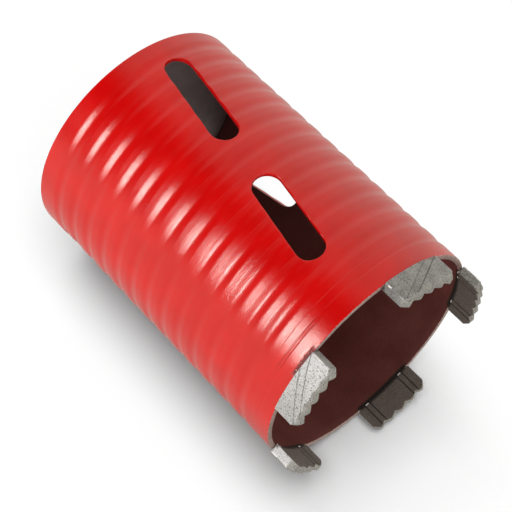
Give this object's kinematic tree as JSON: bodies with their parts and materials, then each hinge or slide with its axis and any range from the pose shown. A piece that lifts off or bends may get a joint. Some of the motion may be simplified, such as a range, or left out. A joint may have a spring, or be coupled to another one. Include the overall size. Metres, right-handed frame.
{
  "type": "diamond core bit",
  "caption": "Dry diamond core bit: a red tube with a rolled helical groove and slanted slots, toothed diamond segments round its rim and a threaded boss behind.",
  "frame": {"origin": "middle of the boss's flat end face, on the bit's axis and on the surface that the bit stands on", "axes": "+Z along the bit's axis towards the segments; X and Y level, with one column of slots round the +Y side"},
  "size_m": [0.106, 0.1069, 0.1678],
  "materials": {
    "red_paint": "glossy sprayed paint over a rolled steel tube, bare steel at the rim and a thin dark coat inside",
    "hub_steel": "turned steel with a thin dull coat",
    "sintered_segment": "matt sintered metal with diamond grit"
  },
  "bodies": {
    "root": {"barrel": "red_paint", "threaded_hub": "hub_steel", "segment_1": "sintered_segment", "segment_2": "sintered_segment", "segment_3": "sintered_segment", "segment_4": "sintered_segment", "segment_5": "sintered_segment"}
  },
  "joints": []
}
